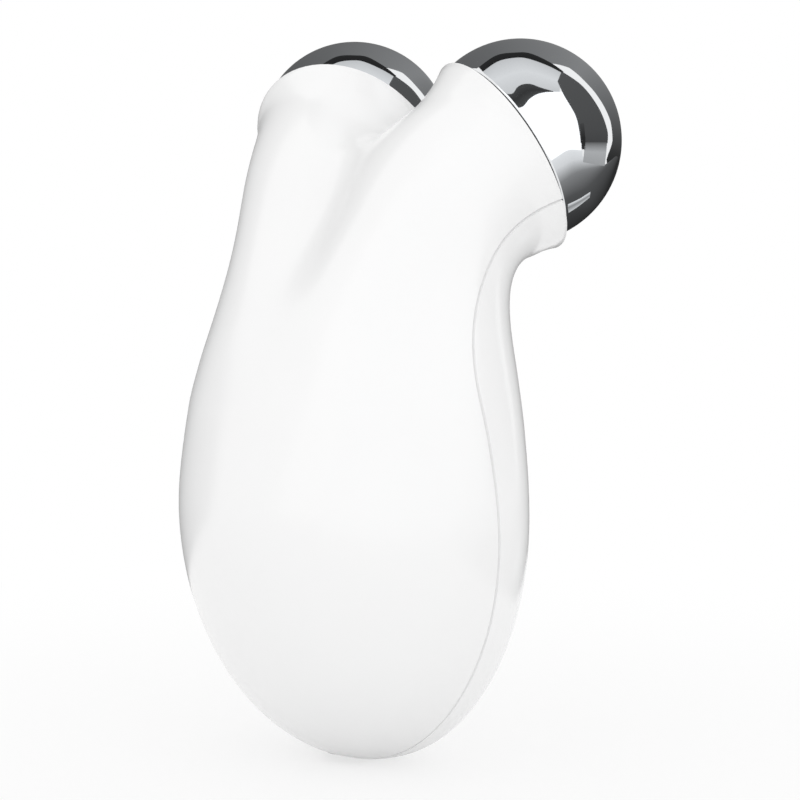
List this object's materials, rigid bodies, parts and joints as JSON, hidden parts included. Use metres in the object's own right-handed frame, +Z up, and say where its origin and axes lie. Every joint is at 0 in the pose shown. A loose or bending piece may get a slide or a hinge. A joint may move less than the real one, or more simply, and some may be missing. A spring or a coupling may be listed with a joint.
{
  "type": "facial toning device",
  "caption": "Handheld facial toning device with two chromed ball electrodes in splayed necks on an egg-shaped body, with a push button and a charging socket.",
  "frame": {"origin": "centre of the charging socket's mouth in the base of the body", "axes": "+Z up the body from its base to the balls, -Y the front with the push button, +Y the rear, +X to the device's right as seen from the front; the body is symmetrical about X = 0"},
  "size_m": [0.0682, 0.0586, 0.1117],
  "materials": {
    "white_abs": "polished",
    "chrome": "mirror polished",
    "bright_trim": "polished",
    "black_rubber": "matt",
    "brass": "bright",
    "steel": "plated",
    "wire": "satin",
    "black_plastic": "moulded",
    "clear_plastic": "clear",
    "led": "clear",
    "board": "solder mask",
    "ferrite": "sintered",
    "aluminium": "satin",
    "inner_plastic": "moulded",
    "cell_wrap": "shrink sleeve",
    "foam": "open cell"
  },
  "bodies": {
    "housing": {"rear_casing": "white_abs", "front_casing": "white_abs", "left_electrode": "chrome", "right_electrode": "chrome", "electrode_seals": "black_rubber", "electrode_carriers": "white_abs", "electrode_terminals": "brass", "electrode_screws": "steel", "left_electrode_lead": "wire", "right_electrode_lead": "wire", "button_bezel": "bright_trim", "switch_dome": "steel", "tact_switch": "black_plastic", "light_guide": "clear_plastic", "indicator_leds": "led", "circuit_board": "board", "controller_chip": "black_plastic", "boost_inductor": "ferrite", "capacitors": "aluminium", "buzzer": "black_plastic", "board_screws": "steel", "chassis": "inner_plastic", "chassis_screws": "steel", "battery_cell": "cell_wrap", "protection_board": "board", "battery_pad": "foam", "battery_connector": "inner_plastic", "battery_leads": "wire", "charging_socket": "black_plastic", "socket_tags": "brass", "socket_leads": "wire"},
    "button": {"power_button": "white_abs", "switch_plunger": "black_plastic"}
  },
  "joints": [
    {"name": "button_press", "type": "slide", "parent": "housing", "child": "button", "axis": [0, 0.9998, -0.0175], "range_m": [0, 0.0005], "stiffness_N_per_m": 3000}
  ]
}
